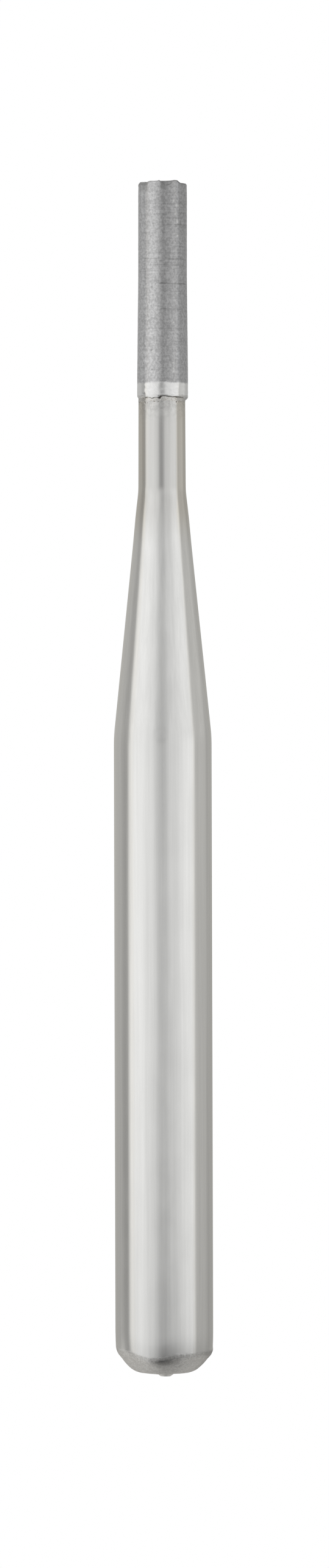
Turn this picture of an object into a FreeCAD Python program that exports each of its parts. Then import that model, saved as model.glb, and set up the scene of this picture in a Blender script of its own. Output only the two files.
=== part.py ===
"""Friction-grip dental bur with a plain cylindrical head, in millimetres.

The bur stands along Z with its cutting end up. The Z axis is the axis of the shank, and
Z = 0 is the flat of the shank's end. Three pieces are brazed end to end: the turned steel
shank with its cone and neck, a thin layer of filler metal, and the ground carbide head.
"""
import FreeCAD, Part
import math
import os

# Shank: the cylinder that the handpiece's chuck grips, with a rounded end to start it there.
shank_diameter = 1.60
shank_length = 10.40
end_chamfer = 0.325
end_shoulder_rounding = 0.30
end_flat_rounding = 0.36

# Pip that parting-off left on the shank's end, a little off the axis.
pip_root_diameter = 0.29
pip_tip_diameter = 0.17
pip_height = 0.065
pip_offset = 0.02

# Cone and neck, turned from the same bar.
cone_length = 4.02
cone_foot_blend = 3.0
cone_top_blend = 1.5
neck_root_diameter = 0.776
neck_tip_diameter = 0.765
neck_length = 1.49

# Filler metal between the neck and the head, drawn in at its middle.
braze_thickness = 0.04
braze_draw_in = 0.006

# Head: it sits a little off the neck's axis and tapers from its foot to its cutting part.
head_offset = 0.012
head_length = 3.51
head_diameter = 0.79
foot_diameter = 0.83
foot_length = 0.38
taper_length = 1.59
foot_edge_rounding = 0.03
tip_edge_rounding = 0.035

# Ridge left standing on the head's end face, rising slowly and falling steeply along X.
ridge_height = 0.023
ridge_start = 0.07
ridge_crest = 0.23
ridge_foot = 0.29
ridge_reach = 0.20

# Chip broken out of the end's edge, hollow like a shell.
chip_curve_radius = 0.12
chip_depth = 0.028
chip_side_offset = 0.05
chip_drop = 0.045

# Heights that follow from the lengths.
neck_foot_height = shank_length + cone_length
neck_tip_height = neck_foot_height + neck_length
head_foot_height = neck_tip_height + braze_thickness
head_tip_height = head_foot_height + head_length

ON_AXIS = FreeCAD.Vector(0, 0, 0)
UP = FreeCAD.Vector(0, 0, 1)
LARGEST_SHARE_OF_SIDE = 0.45


def rounded_corner(before, corner, after, rounding):
    """Start, middle and end of the arc that rounds a corner, kept within its two sides."""
    to_before = (before - corner).normalize()
    to_after = (after - corner).normalize()
    half_angle = to_before.getAngle(to_after) / 2
    shorter_side = min(before.distanceToPoint(corner), after.distanceToPoint(corner))
    reach = min(rounding / math.tan(half_angle), LARGEST_SHARE_OF_SIDE * shorter_side)
    radius = reach * math.tan(half_angle)
    middle_distance = radius / math.sin(half_angle) - radius
    inward = (to_before + to_after).normalize()
    start = corner + to_before * reach
    middle = corner + inward * middle_distance
    end = corner + to_after * reach
    return start, middle, end


def turned(outline):
    """Solid turned about Z from corners of (radius, height, rounding), first and last on Z."""
    points = [FreeCAD.Vector(radius, 0, height) for radius, height, rounding in outline]
    edges = []
    pen = points[0]
    for index in range(1, len(points) - 1):
        rounding = outline[index][2]
        if rounding > 0:
            start, middle, end = rounded_corner(
                points[index - 1], points[index], points[index + 1], rounding
            )
            edges.append(Part.makeLine(pen, start))
            edges.append(Part.Arc(start, middle, end).toShape())
            pen = end
        else:
            edges.append(Part.makeLine(pen, points[index]))
            pen = points[index]
    edges.append(Part.makeLine(pen, points[-1]))
    edges.append(Part.makeLine(points[-1], points[0]))
    face = Part.Face(Part.Wire(edges))
    return face.revolve(ON_AXIS, UP, 360)


def parting_pip():
    """Low stump on the shank's end, sunk a little so that it fuses with the end."""
    bite = pip_height / 2
    flare = (pip_root_diameter - pip_tip_diameter) / 2 / pip_height
    root_radius = pip_root_diameter / 2 + flare * bite
    foot = FreeCAD.Vector(pip_offset, 0, bite)
    return Part.makeCone(root_radius, pip_tip_diameter / 2, pip_height + bite, foot, -UP)


def make_shank():
    """Rounded end, shank, cone and neck in one turned piece, with the pip on its end."""
    shank_radius = shank_diameter / 2
    blank = turned([
        (0, 0, 0),
        (shank_radius - end_chamfer, 0, end_flat_rounding),
        (shank_radius, end_chamfer, end_shoulder_rounding),
        (shank_radius, shank_length, cone_foot_blend),
        (neck_root_diameter / 2, neck_foot_height, cone_top_blend),
        (neck_tip_diameter / 2, neck_tip_height, 0),
        (0, neck_tip_height, 0),
    ])
    return blank.fuse(parting_pip())


def circle_wire(diameter, side_offset, height):
    """Level circle as a wire, centred off the axis by side_offset along X."""
    centre = FreeCAD.Vector(side_offset, 0, height)
    return Part.Wire(Part.makeCircle(diameter / 2, centre, UP))


def make_braze_joint():
    """Filler that runs from the neck's edge to the flat foot of the head, drawn in between."""
    head_flat_diameter = foot_diameter - 2 * foot_edge_rounding
    waist_diameter = (neck_tip_diameter + head_flat_diameter) / 2 - 2 * braze_draw_in
    waist_height = neck_tip_height + braze_thickness / 2
    rings = [
        circle_wire(neck_tip_diameter, 0, neck_tip_height),
        circle_wire(waist_diameter, head_offset / 2, waist_height),
        circle_wire(head_flat_diameter, head_offset, head_foot_height),
    ]
    return Part.makeLoft(rings, True, True)


def head_blank():
    """Head as it was ground: straight foot, taper, straight cutting part and rounded end."""
    foot_radius = foot_diameter / 2
    head_radius = head_diameter / 2
    taper_start = head_foot_height + foot_length
    return turned([
        (0, head_foot_height, 0),
        (foot_radius, head_foot_height, foot_edge_rounding),
        (foot_radius, taper_start, 0),
        (head_radius, taper_start + taper_length, 0),
        (head_radius, head_tip_height, tip_edge_rounding),
        (0, head_tip_height, 0),
    ])


def end_ridge():
    """Ridge on the end face: a long wedge, trimmed to the round of the end."""
    sunk_height = head_tip_height - ridge_height
    section = Part.makePolygon([
        FreeCAD.Vector(ridge_start, -head_diameter, sunk_height),
        FreeCAD.Vector(ridge_start, -head_diameter, head_tip_height),
        FreeCAD.Vector(ridge_crest, -head_diameter, head_tip_height + ridge_height),
        FreeCAD.Vector(ridge_foot, -head_diameter, head_tip_height),
        FreeCAD.Vector(ridge_foot, -head_diameter, sunk_height),
        FreeCAD.Vector(ridge_start, -head_diameter, sunk_height),
    ])
    wedge = Part.Face(section).extrude(FreeCAD.Vector(0, head_diameter + ridge_reach, 0))
    trim_radius = (head_diameter - tip_edge_rounding) / 2
    trim_foot = FreeCAD.Vector(0, 0, sunk_height)
    return wedge.common(Part.makeCylinder(trim_radius, 2 * ridge_height, trim_foot, UP))


def edge_chip():
    """Ball that scoops the chip out of the end's edge on the front."""
    ball_distance = head_diameter / 2 + chip_curve_radius - chip_depth
    ball_centre = FreeCAD.Vector(chip_side_offset, -ball_distance, head_tip_height - chip_drop)
    return Part.makeSphere(chip_curve_radius, ball_centre)


def make_head():
    """Ground head with the ridge and the chip of its worn end, set off the neck's axis."""
    head = head_blank().fuse(end_ridge())
    head = head.cut(edge_chip())
    head.translate(FreeCAD.Vector(head_offset, 0, 0))
    return head


def only_solid(shape):
    """The one solid that a cut, fuse or loft returns, free of its compound."""
    return shape.removeSplitter().Solids[0]


def main():
    os.makedirs("parts", exist_ok=True)
    pieces = {
        "shank": make_shank(),
        "braze_joint": make_braze_joint(),
        "head": make_head(),
    }
    for name, shape in pieces.items():
        only_solid(shape).exportStep(f"parts/{name}.step")


main()
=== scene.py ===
"""Dental bur with a plain carbide head: how it looks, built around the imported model.

Sizes are in millimetres, unless a name says otherwise, and angles in degrees. Meshes are
written in metres. An azimuth is measured round the bur's axis from the front, which faces
the camera, and grows towards the camera's right.
"""
import math

import bpy
import numpy as np
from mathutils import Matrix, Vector, noise


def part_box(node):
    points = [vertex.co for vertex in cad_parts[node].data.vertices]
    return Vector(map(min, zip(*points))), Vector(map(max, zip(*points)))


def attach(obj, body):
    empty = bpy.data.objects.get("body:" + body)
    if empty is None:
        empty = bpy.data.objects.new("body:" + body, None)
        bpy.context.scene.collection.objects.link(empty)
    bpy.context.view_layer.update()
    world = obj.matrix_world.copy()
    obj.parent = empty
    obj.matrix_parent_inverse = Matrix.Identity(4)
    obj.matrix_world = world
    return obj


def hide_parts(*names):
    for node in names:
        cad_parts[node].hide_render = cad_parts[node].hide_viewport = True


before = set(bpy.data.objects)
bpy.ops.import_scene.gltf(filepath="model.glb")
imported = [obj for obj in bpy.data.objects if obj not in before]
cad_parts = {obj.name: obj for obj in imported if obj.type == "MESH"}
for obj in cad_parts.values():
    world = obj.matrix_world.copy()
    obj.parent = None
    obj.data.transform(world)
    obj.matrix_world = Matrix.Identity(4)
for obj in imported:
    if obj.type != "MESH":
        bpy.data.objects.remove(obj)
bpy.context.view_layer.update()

MM = 0.001
TINY = 1e-9

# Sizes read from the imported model.
shank_low, shank_high = [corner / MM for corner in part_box("shank")]
head_low, head_high = [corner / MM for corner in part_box("head")]
SHANK_RADIUS = (shank_high.x - shank_low.x) / 2
PIP_HEIGHT = -shank_low.z
NECK_TIP = shank_high.z
HEAD_FOOT = head_low.z
HEAD_HIGHEST = head_high.z
HEAD_AXIS_X = (head_low.x + head_high.x) / 2
HEAD_FOOT_RADIUS = (head_high.x - head_low.x) / 2

# The turned steel blank.
END_FLAT_RADIUS = 0.48
END_BULGE = (0.647, 0.156)
END_SHOULDER = 0.325
FLAT_ROUNDING = 0.32
BULGE_ROUNDING = 0.5
SHOULDER_ROUNDING = 0.21
PIP_ROOT_RADIUS = 0.165
PIP_TIP_RADIUS = 0.08
PIP_OFFSET = 0.02
CONE_FOOT = 10.4
CONE_FOOT_BLEND = 3.0
NECK_FOOT = 14.42
NECK_FOOT_BLEND = 1.5
NECK_FOOT_RADIUS = 0.388
NECK_TIP_RADIUS = 0.3825

# The ground carbide head.
HEAD_RADIUS = 0.395
RIDGE_HEIGHT = 0.023
HEAD_TIP = HEAD_HIGHEST - RIDGE_HEIGHT
TAPER_START = HEAD_FOOT + 0.38
TAPER_END = TAPER_START + 1.59
BAND_TOP = 16.178
FOOT_EDGE_ROUNDING = 0.03
TIP_EDGE_ROUNDING = 0.022


def rise(value, low, high):
    """0 below low, 1 above high and a soft rise between them."""
    share = np.clip((value - low) / (high - low), 0, 1)
    return share * share * (3 - 2 * share)


def bell(value, middle, width):
    """1 at the middle, falling off on both sides over about the width."""
    return np.exp(-((value - middle) / width) ** 2)


def swell(value, amount, middle, width):
    """Bell as high as the amount."""
    return amount * bell(value, middle, width)


def read_off(table, value):
    """What a table of (place, number) says at a value."""
    return np.interp(value, *zip(*table))


def noise_at(points, scale, seed):
    """Smooth noise between about -1 and 1 at each point, finer as the scale grows."""
    shift = Vector((13.7 * seed, -7.3 * seed, 4.1 * seed))
    flat = points.reshape(-1, 3)
    values = [noise.noise(Vector(point) * scale + shift) for point in flat]
    return np.array(values).reshape(points.shape[:-1])


def noise_sum(points, layers):
    """Sum of the noises in layers of (amount, scale, seed)."""
    return sum(amount * noise_at(points, scale, seed) for amount, scale, seed in layers)


def azimuth_of(points):
    """Azimuth in degrees of each point round the Z axis, 0 at the front."""
    return np.degrees(np.arctan2(points[..., 0], -points[..., 1]))


def rounded_outline(corners, arc_steps=24):
    """Polyline of (radius, height) through corners of (radius, height, rounding)."""
    points = np.array(corners, float)[:, :2]
    line = [points[0]]
    for before, here, after, corner in zip(points, points[1:], points[2:], corners[1:]):
        rounding = corner[2]
        if rounding == 0:
            line.append(here)
            continue
        back = before - here
        onward = after - here
        back = back / np.linalg.norm(back)
        onward = onward / np.linalg.norm(onward)
        half_angle = math.acos(float(back @ onward)) / 2
        reach = rounding / math.tan(half_angle)
        inward = (back + onward) / np.linalg.norm(back + onward)
        centre = here + inward * rounding / math.sin(half_angle)
        start = here + back * reach - centre
        end = here + onward * reach - centre
        turn = math.pi - 2 * half_angle
        for step in range(arc_steps + 1):
            share = step / arc_steps
            arm = math.sin((1 - share) * turn) * start + math.sin(share * turn) * end
            line.append(centre + arm / math.sin(turn))
    line.append(points[-1])
    return np.array(line)


def resample(line, spacings):
    """The same polyline with points as far apart as pairs of (top height, spacing) say."""
    lengths = np.linalg.norm(np.diff(line, axis=0), axis=1)
    along = np.concatenate([[0], np.cumsum(lengths)])
    places = [0.0]
    while places[-1] < along[-1]:
        height = np.interp(places[-1], along, line[:, 1])
        places.append(places[-1] + next(gap for top, gap in spacings if height < top))
    places[-1] = along[-1]
    return np.stack([np.interp(places, along, line[:, i]) for i in (0, 1)], axis=1)


def rings_from(outline, segments, centre_x=0):
    """Stack of rings of points from an outline of (radius, height)."""
    turn = np.linspace(0, 2 * math.pi, segments, endpoint=False)
    radius = outline[:, :1]
    height = outline[:, 1:]
    x = radius * np.sin(turn) + centre_x
    y = -radius * np.cos(turn)
    z = height + 0 * turn
    return np.stack([x, y, z], axis=2)


def outward(outline):
    """Unit normals of an outline that climbs, pointing off the solid."""
    slope = np.gradient(outline, axis=0)
    slope = slope / np.maximum(np.linalg.norm(slope, axis=1, keepdims=True), TINY)
    return np.stack([slope[:, 1], -slope[:, 0]], axis=1)


def pushed_out(rings, normals, amounts):
    """Rings moved along the outline's normals by an amount for each point."""
    arm = rings[..., :2]
    arm = arm / np.maximum(np.linalg.norm(arm, axis=2, keepdims=True), TINY)
    moved = rings.copy()
    moved[..., :2] += arm * (amounts * normals[:, :1])[..., None]
    moved[..., 2] += amounts * normals[:, 1:]
    return moved


def new_object(name, data):
    """Object with the given data, in the scene."""
    made = bpy.data.objects.new(name, data)
    bpy.context.scene.collection.objects.link(made)
    return made


def ring_faces(count, segments):
    """Corner numbers of the faces between the rings of a stack."""
    here = np.arange(segments)
    ahead = (here + 1) % segments
    faces = []
    for low in range(0, (count - 1) * segments, segments):
        high = low + segments
        faces += np.stack([low + here, low + ahead, high + ahead, high + here], 1).tolist()
    return faces


def pole_faces(count, segments):
    """Corner numbers of the faces that close a stack at its poles."""
    low_pole = count * segments
    top = low_pole - segments
    pairs = [(here, (here + 1) % segments) for here in range(segments)]
    low_faces = [[low_pole, ahead, here] for here, ahead in pairs]
    return low_faces + [[low_pole + 1, top + here, top + ahead] for here, ahead in pairs]


def skin(name, rings, body, replaced, marks):
    """Closed smooth piece over a stack of rings, with marks at its points."""
    poles = [rings[0].mean(axis=0), rings[-1].mean(axis=0)]
    points = np.concatenate([rings.reshape(-1, 3), poles]) * MM
    faces = ring_faces(*rings.shape[:2]) + pole_faces(*rings.shape[:2])
    mesh = bpy.data.meshes.new(name)
    mesh.from_pydata(points.tolist(), [], faces)
    mesh.polygons.foreach_set("use_smooth", [True] * len(mesh.polygons))
    for mark, values in marks.items():
        flat = np.concatenate([values.reshape(-1), [values[0].mean(), values[-1].mean()]])
        attribute = mesh.attributes.new(mark, "FLOAT", "POINT")
        attribute.data.foreach_set("value", flat.astype(np.float32))
    mesh.update()
    piece = new_object(name, mesh)
    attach(piece, body)
    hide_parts(replaced)
    return piece


# The steel blank: rounded end with its pip, shank, cone and neck.

SHANK_SEGMENTS = 240
SHANK_FIT = 0.999
POLE_RADIUS = 0.004
NECK_CORE_RADIUS = 0.3 * NECK_TIP_RADIUS

# Ring spacing up to each height: close on the tumbled end and beside the brazed joint.
SHANK_SPACINGS = [
    (0.75, 0.0115), (CONE_FOOT - 0.4, 0.2), (CONE_FOOT + 0.4, 0.05), (NECK_FOOT - 0.4, 0.2),
    (NECK_TIP - 0.3, 0.05), (math.inf, 0.012),
]

# The tumbled end: eased inwards, flared at the right, and mottled.
EASING_TOP = 0.72
EASING_REACH = 0.36
EASING_CURVE = 0.155
EASING_FADE = (0.1, 0.26)
FLARE = (0.005, 0.385, 0.04)
FLARE_SIDE = (0.88, 0.99)
END_MOTTLE = [(0.0022, 9.0, 1), (0.0012, 30.0, 2)]
END_MOTTLE_FADE = (0.34, 0.44)
CONE_FULLNESS = (0.005, NECK_FOOT - 0.42, 0.3)

# Height up to which the end is matte, before the lift, and how soft that edge is.
MATTE_TOP = 0.4
MATTE_WANDER = [(0.005, 5.0, 3), (0.005, 22.0, 4)]
MATTE_SOFTNESS = 0.016
MATTE_SOFTER = 0.018
MATTE_SIDES = (40, 60)
# How much higher or lower the end's shoulder stands, by azimuth.
SHOULDER_LIFT = [
    (-180, 0), (-90, 0.025), (-45, -0.015), (-33, -0.062), (-18, -0.106), (-8, -0.106),
    (4, -0.083), (14, -0.055), (50, -0.045), (90, -0.02), (180, 0),
]
# The share of that lift at each height.
LIFT_SHARE = [(0, 0.05), (0.08, 0.2), (0.34, 1), (0.6, 1), (0.9, 0)]

# The pip: where rings follow it, how ragged it is, and the height that ends it.
PIP_RINGS_FADE = (PIP_ROOT_RADIUS, 0.32)
PIP_CLIMB_FADE = (0.05, 0.3)
PIP_WANDER = [(0.008, 14.0, 5)]
PIP_TIP_RELIEF = [(0.004, 25.0, 6)]
PIP_CEILING = 0.1

# Painted shade in front on the matte end, a dark patch: azimuth, height, each with a width, and
# slant.
END_SHADE_AZIMUTH = (1, 17)
END_SHADE_HEIGHT = (0.215, 0.055)
END_SHADE_SLANT = 0.0006

# The pits below the joint: their noise, its part that counts, place below the tip, depth.
PIT_NOISE = (40.0, 7)
PIT_EDGE = (0.26, 0.46)
PIT_PLACE = (0.036, 0.03)
PIT_DEPTH = 0.006


def shank_outline():
    """Outline of the blank, from its end up to the tip of its neck."""
    corners = [
        (POLE_RADIUS, 0, 0),
        (END_FLAT_RADIUS, 0, FLAT_ROUNDING),
        (*END_BULGE, BULGE_ROUNDING),
        (SHANK_RADIUS, END_SHOULDER, SHOULDER_ROUNDING),
        (SHANK_RADIUS, CONE_FOOT, CONE_FOOT_BLEND),
        (NECK_FOOT_RADIUS, NECK_FOOT, NECK_FOOT_BLEND),
        (NECK_TIP_RADIUS, NECK_TIP, 0),
        (NECK_CORE_RADIUS, NECK_TIP, 0),
    ]
    outline = resample(rounded_outline(corners), SHANK_SPACINGS)
    outline[:, 0] *= SHANK_FIT
    return outline


def pip_centre_x(outline):
    """Centre of each ring: the pip's on the end's flat, the shank's everywhere else."""
    on_flat = 1 - rise(outline[:, :1], *PIP_RINGS_FADE)
    return PIP_OFFSET * on_flat * (1 - rise(outline[:, 1:], *PIP_CLIMB_FADE))


def end_unevenness(rings):
    """How far the tumbled end stands off its true form."""
    height = rings[..., 2]
    side = rings[..., 0] / SHANK_RADIUS
    on_end = 1 - rise(height, *END_MOTTLE_FADE)
    easing = -0.5 * EASING_CURVE * np.clip(EASING_TOP - height, 0, EASING_REACH) ** 2
    easing = easing * rise(height, *EASING_FADE)
    flare = swell(height, *FLARE) * rise(side, *FLARE_SIDE)
    return easing + flare + on_end * noise_sum(rings, END_MOTTLE) + swell(height, *CONE_FULLNESS)


def matte_mark(rings):
    """1 on the matte end and 0 above its wavy edge, which is sharper in front."""
    behind = rise(np.abs(azimuth_of(rings)), *MATTE_SIDES)
    softness = MATTE_SOFTNESS + MATTE_SOFTER * behind
    over_edge = rings[..., 2] + noise_sum(rings, MATTE_WANDER) - MATTE_TOP
    return 1 - rise(over_edge / softness, -1, 1)


def lift_shoulder(rings):
    """Moves the end's shoulder up or down, by azimuth."""
    height = rings[..., 2]
    lift = read_off(SHOULDER_LIFT, azimuth_of(rings)) * read_off(LIFT_SHARE, height)
    rings[..., 2] += lift * (height < LIFT_SHARE[-1][0])


def draw_pip_down(rings):
    """Draws the pip down out of the flat, and returns a mark for it."""
    from_pip = np.hypot(rings[..., 0] - PIP_OFFSET, rings[..., 1])
    rim = from_pip + noise_sum(rings, PIP_WANDER)
    on_pip = np.clip((PIP_ROOT_RADIUS - rim) / (PIP_ROOT_RADIUS - PIP_TIP_RADIUS), 0, 1)
    on_pip = on_pip * (rings[..., 2] < PIP_CEILING)
    rings[..., 2] -= on_pip * (PIP_HEIGHT - np.abs(noise_sum(rings, PIP_TIP_RELIEF)))
    return on_pip


def make_shank():
    """Shank piece, with marks for the matte end, painted shade in front on it, pip and the joint's
    pits.
    """
    outline = shank_outline()
    rings = rings_from(outline, SHANK_SEGMENTS, pip_centre_x(outline))
    rings = pushed_out(rings, outward(outline), end_unevenness(rings))
    rough = matte_mark(rings)
    lift_shoulder(rings)
    on_pip = draw_pip_down(rings)
    height = rings[..., 2]
    azimuth = azimuth_of(rings)
    # Painted shade: a dark patch in front on the matte end.
    painted_end_shade = bell(azimuth, *END_SHADE_AZIMUTH) * bell(height - END_SHADE_SLANT * azimuth, *END_SHADE_HEIGHT)
    pit = rise(noise_at(rings, *PIT_NOISE), *PIT_EDGE) * bell(NECK_TIP - height, *PIT_PLACE)
    rings = pushed_out(rings, outward(outline), -PIT_DEPTH * pit)
    rings[..., 2] = np.maximum(rings[..., 2], -PIP_HEIGHT)
    marks = {"rough": rough, "pit": pit, "painted_end_shade": painted_end_shade, "pip": on_pip}
    return skin("shank_body", rings, "root", "shank", marks)


# The filler metal: a thin uneven bead with a crack along it, darkened by its filler and painted
# shadow.

BRAZE_SEGMENTS = 320
BRAZE_RINGS = 42
BEAD_LOW = NECK_TIP - 0.034
BEAD_HIGH = HEAD_FOOT + FOOT_EDGE_ROUNDING
BEAD_LOW_RADIUS = NECK_TIP_RADIUS + 0.001
BEAD_HIGH_RADIUS = HEAD_FOOT_RADIUS - 0.0008
BEAD_CORE_RADIUS = 0.2
BEAD_RELIEF = [(0.002, 14.0, 13), (0.0015, 45.0, 14)]
# Height over which the bead widens, in front and so much more at the sides.
STEP_FRONT = 0.01
STEP_MORE = 0.034
STEP_SIDES = (58, 86)
STEP_SPAN = (-0.2, 1)

# Height of the dark crack over the neck's tip, by azimuth: it dips and steps up in front.
CRACK_LINE = [
    (-180, 0.02), (-90, 0.02), (-46, 0.031), (-36, 0.028), (-30, 0.016), (-25, 0.004),
    (-19, 0.016), (-5, 0.022), (2, 0.044), (9, 0.046), (14, 0.035), (63, 0.03), (75, 0.012),
    (90, -0.011), (130, 0.01), (180, 0.02),
]
# How open the crack is, and how dark its filler and painted shadow are, by azimuth.
CRACK_STRENGTH = [
    (-180, 0.5), (-90, 0.15), (-50, 0.1), (-45, 0.6), (-40, 0.55), (-36, 0.35), (-30, 0.65),
    (-13, 0.5), (-9, 0.12), (0, 0.12), (9, 0.4), (14, 0.7), (57, 0.7), (66, 0.3), (90, 0.15),
    (180, 0.5),
]
CRACK_WIDTH = 0.0048
CRACK_DEPTH = 0.008
CRACK_WANDER = [(0.004, 18.0, 11)]
GAP_STRENGTH = 0.75
GAP_NOISE = (7.0, 12)
GAP_STRETCH = (1, 1, 0.1)
GAP_EDGE = (-0.3, 0.1)
BELOW_CRACK = (-0.004, 0.002)
# Painted shade in front over the crack, a blot: how dark, azimuth and width, height over the crack
# and width, its noise.
SHADE_BLOT = (0.68, -4, 9)
SHADE_BLOT_OVER_CRACK = (0.01, 0.05)
SHADE_BLOT_NOISE = [(0.6, 24.0, 15)]
SHADE_BLOT_EVENNESS = 0.75


def crack_and_shade_mark(rings, azimuth, over_crack):
    """How dark each point is from the crack, with its filler and painted shadow, or from the
    painted shade in front.
    """
    gaps = rise(noise_at(rings * GAP_STRETCH, *GAP_NOISE), *GAP_EDGE)
    crack_and_shadow = bell(over_crack, 0, CRACK_WIDTH) * read_off(CRACK_STRENGTH, azimuth)
    crack_and_shadow = crack_and_shadow * (GAP_STRENGTH + (1 - GAP_STRENGTH) * gaps)
    # Painted shade in front over the crack.
    shade_blot = swell(azimuth, *SHADE_BLOT) * bell(over_crack, *SHADE_BLOT_OVER_CRACK)
    return np.maximum(crack_and_shadow, shade_blot * (SHADE_BLOT_EVENNESS + noise_sum(rings, SHADE_BLOT_NOISE)))


def make_braze():
    """Bead between the neck and the head, with a step and marks for its crack, with painted shadow
    and shade.
    """
    share = np.linspace(0, 1, BRAZE_RINGS)
    height = BEAD_LOW + share * (BEAD_HIGH - BEAD_LOW)
    wall = np.stack([np.full(BRAZE_RINGS, BEAD_LOW_RADIUS), height], 1)
    core = BEAD_CORE_RADIUS
    outline = np.concatenate([[[core, BEAD_LOW]], wall, [[core, BEAD_HIGH]]])
    rings = rings_from(outline, BRAZE_SEGMENTS)
    azimuth = azimuth_of(rings)
    over_tip = rings[..., 2] + noise_sum(rings, CRACK_WANDER) - NECK_TIP
    over_crack = over_tip - read_off(CRACK_LINE, azimuth)
    crack_and_shadow = crack_and_shade_mark(rings, azimuth, over_crack)
    step_height = STEP_FRONT + STEP_MORE * rise(np.abs(azimuth), *STEP_SIDES)
    climb = rise(over_crack / step_height, *STEP_SPAN)
    step = (BEAD_HIGH_RADIUS - BEAD_LOW_RADIUS) * climb
    amounts = step + noise_sum(rings, BEAD_RELIEF) - CRACK_DEPTH * crack_and_shadow
    amounts[[0, -1]] = 0
    sideways = np.tile([[1.0, 0.0]], (len(outline), 1))
    rings = pushed_out(rings, sideways, amounts)
    rings[..., 0] += HEAD_AXIS_X * climb
    marks = {"crack_and_shadow": crack_and_shadow, "below_crack": 1 - rise(over_crack, *BELOW_CRACK)}
    return skin("braze_bead", rings, "root", "braze_joint", marks)


# The carbide head: ground all round, scratched, and worn and chipped at its end.

HEAD_SEGMENTS = 216
HEAD_SPACINGS = [(HEAD_TIP - 0.04, 0.0105), (math.inf, 0.006)]
END_RINGS = 34
END_POLE_RADIUS = 0.01
HEAD_CORE_RADIUS = 0.25
HEAD_LEAN = 0.0026
HEAD_FULLNESS = 0.003
END_FLAT_START = 1.05 * TIP_EDGE_ROUNDING
SIDE_MARGIN = 0.002

# Scratches that show on the front: height, azimuth from and to, waviness, strength.
FRONT_SCRATCHES = [
    (19.15, -42, -4, 0.002, 0.35), (19.09, -45, 75, 0.002, 0.35),
    (18.945, -40, -24, 0.002, 0.5), (18.945, 6, 64, 0.003, 0.6),
    (18.845, -75, -55, 0.002, 0.5), (18.86, 8, 52, 0.002, 0.7),
    (18.795, -12, 0, 0.003, 0.6), (18.756, 8, 24, 0.002, 1.0),
    (18.756, 30, 84, 0.001, 1.0), (18.597, 52, 80, 0.003, 0.4),
    (18.2, -85, 10, 0.002, 0.5), (18.2, 10, 60, 0.007, 0.9),
    (18.1, -60, 0, 0.003, 0.35), (18.1, 0, 60, 0.003, 0.65),
    (17.99, -80, -35, 0.003, 0.5), (17.793, -10, 75, 0.004, 0.9),
    (17.624, 50, 85, 0.002, 0.6), (17.376, -3, 52, 0.003, 0.8),
    (17.058, -60, 50, 0.003, 0.3),
]
SCRATCH_WIDTH = 0.0085
SCRATCH_ENDS = 4
WOBBLE_NOISE = (9.0, 21)
WOBBLE_STRETCH = (1, 1, 0.2)
FRONT_WOBBLE = 1.6
BACK_WOBBLE = 0.005
SCRATCH_FADING = [(0.5, 14.0, 22)]
SCRATCH_STRENGTH = 0.65
SCRATCH_SEED = 5
BACK_SCRATCHES = 26
BACK_BEGINS = (80, 90)

# Dark pits and bright specks that show on the front: height, azimuth, size, strength.
FRONT_PITS = [
    (15.988, -48, 0.02, 0.7), (18.766, -22, 0.014, 0.8), (17.733, -26, 0.013, 0.8),
    (17.426, -28, 0.011, 0.6), (17.426, -16, 0.011, 0.6), (16.706, -26, 0.013, 0.9),
    (16.387, -25, 0.013, 0.8),
]
FRONT_SPECKS = [
    (19.145, 27, 0.02, 0.5), (19.07, 34, 0.018, 0.6), (19.06, 40, 0.016, 0.7),
    (18.93, 32, 0.02, 0.4), (18.82, 37, 0.02, 0.6), (18.577, 39, 0.017, 1.0),
    (18.8, 38, 0.015, 0.9), (17.158, 26, 0.016, 0.6), (16.493, 25, 0.018, 0.6),
    (16.404, 25, 0.016, 0.6), (16.354, 25, 0.016, 0.6),
]
# Seed and number of those round the back.
BACK_PITS = (31, 8)
BACK_SPECKS = (32, 6)

# Height of the end face over its flat along the front, by distance from the head's axis.
END_PROFILE = [
    (-0.4, -0.02), (-0.362, 0.007), (-0.34, 0.004), (-0.26, -0.004), (-0.205, 0.008),
    (-0.1, 0.007), (-0.078, 0.01), (-0.06, 0.021), (-0.035, 0.006), (0.06, 0.006),
    (0.14, 0.012), (0.2, RIDGE_HEIGHT - 0.001), (0.238, 0.021), (0.292, -0.021),
    (0.37, -0.018), (0.4, -0.02),
]
# The same behind: a wave of this height, number of turns and start, about a level.
BACK_WAVE, BACK_TURNS, BACK_START, BACK_LEVEL = 0.01, 9, 1.0, -0.008
FRONT_TO_BACK = (0.02, 0.28)
END_RELIEF = [(0.003, 16.0, 25)]
END_RELIEF_RISE = (HEAD_TIP - 0.1, HEAD_TIP - 0.01)

# Lower edge of the chip in front: depth below the end, by distance from the head's axis.
CREASE = [
    (-0.05, 0.01), (0.0, 0.04), (0.042, 0.072), (0.08, 0.066), (0.12, 0.055), (0.17, 0.03),
]
CREASE_WANDER = [(0.006, 20.0, 28)]
CREASE_WIDTH = 0.013
CHIP_LEFT = (-0.05, -0.01)
CHIP_RIGHT = (0.13, 0.18)
CHIP_DEPTH = 0.0018
CHIP_SLOPE = 0.05
# Patches: amount, place and width across, depth below the end and reach. The chip shade and left
# shade are painted shade; the left flat and back chips are depths.
CHIP_SHADE = (0.7, 0.01, 0.045, 0.08, 0.045)
LEFT_SHADE = (0.8, -0.315, 0.045, 0.1, 0.06)
LEFT_FLAT = (0.006, -52, 12, 0.08, 0.06)
BACK_CHIPS = (0.022, 150, 7, 0.03, 0.03)

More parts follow.
